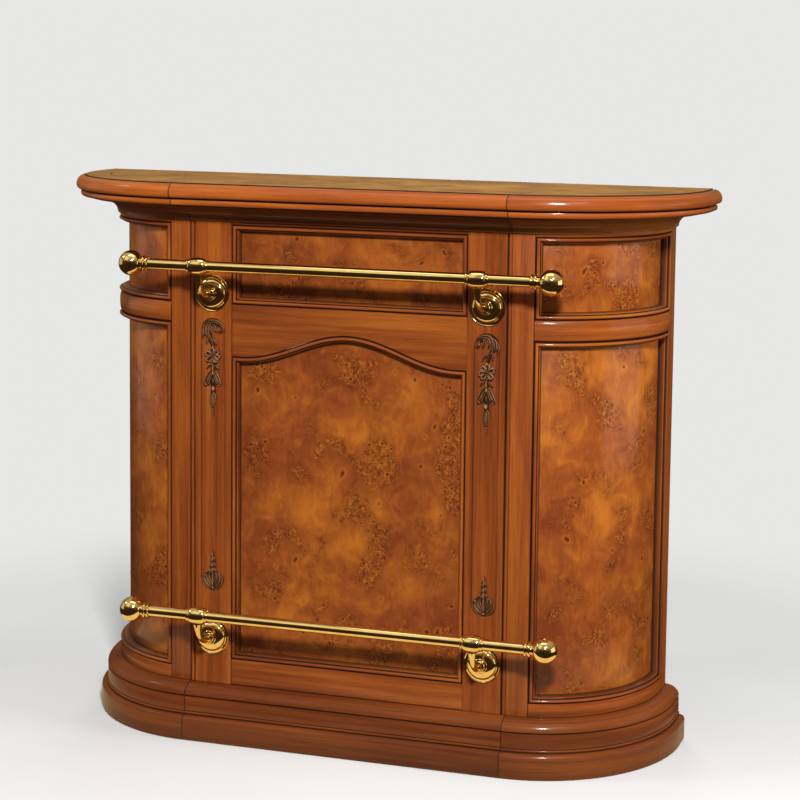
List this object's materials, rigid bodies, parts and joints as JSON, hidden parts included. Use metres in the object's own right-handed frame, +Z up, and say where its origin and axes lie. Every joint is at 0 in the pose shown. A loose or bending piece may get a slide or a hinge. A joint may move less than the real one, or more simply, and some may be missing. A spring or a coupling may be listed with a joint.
{
  "type": "bar counter",
  "caption": "Home bar counter with quarter-round ends, burl panels in moulded frames, carved pilasters and brass rails; open shelves behind.",
  "frame": {"origin": "on the floor, under the middle of the whole counter's box", "axes": "+X to the right seen from the front, +Y from the panelled front to the open back, +Z up"},
  "size_m": [1.26, 0.3733, 1.05],
  "materials": {
    "cherry": "glossy varnish over orange-brown cherry",
    "burl": "glossy varnish over burl veneer",
    "top_veneer": "high-gloss varnish over pale burl veneer",
    "plinth_wood": "satin varnish over reddish cherry",
    "brass": "polished",
    "carving": "dark antiqued carving, worn bright on its edges",
    "inside_wood": "plain satin veneer"
  },
  "bodies": {
    "root": {"top_board": "top_veneer", "top_moulding_front": "cherry", "top_moulding_left": "cherry", "top_moulding_right": "cherry", "cornice_front": "cherry", "cornice_left": "cherry", "cornice_right": "cherry", "pilaster_left": "cherry", "pilaster_right": "cherry", "frieze_rail": "cherry", "frieze_moulding": "cherry", "mid_rail": "cherry", "main_moulding": "cherry", "base_rail": "cherry", "frieze_panel": "burl", "main_panel": "burl", "corner_upper_panel_left": "burl", "corner_upper_panel_right": "burl", "corner_lower_panel_left": "burl", "corner_lower_panel_right": "burl", "front_stile_left": "cherry", "front_stile_right": "cherry", "rear_stile_left": "cherry", "rear_stile_right": "cherry", "corner_top_rail_left": "cherry", "corner_top_rail_right": "cherry", "corner_upper_moulding_left": "cherry", "corner_upper_moulding_right": "cherry", "corner_band_left": "cherry", "corner_band_right": "cherry", "corner_lower_moulding_left": "cherry", "corner_lower_moulding_right": "cherry", "corner_base_rail_left": "cherry", "corner_base_rail_right": "cherry", "plinth_front": "plinth_wood", "plinth_left": "plinth_wood", "plinth_right": "plinth_wood", "plinth_back": "plinth_wood", "upper_carving_left": "carving", "upper_carving_right": "carving", "lower_carving_left": "carving", "lower_carving_right": "carving", "upper_rail": "brass", "upper_finial_left": "brass", "upper_finial_right": "brass", "upper_saddle_left": "brass", "upper_saddle_right": "brass", "upper_bracket_left": "brass", "upper_bracket_right": "brass", "lower_rail": "brass", "lower_finial_left": "brass", "lower_finial_right": "brass", "lower_saddle_left": "brass", "lower_saddle_right": "brass", "lower_bracket_left": "brass", "lower_bracket_right": "brass", "floor_board": "inside_wood", "shelf": "inside_wood", "partition_left": "inside_wood", "partition_right": "inside_wood"}
  },
  "joints": []
}
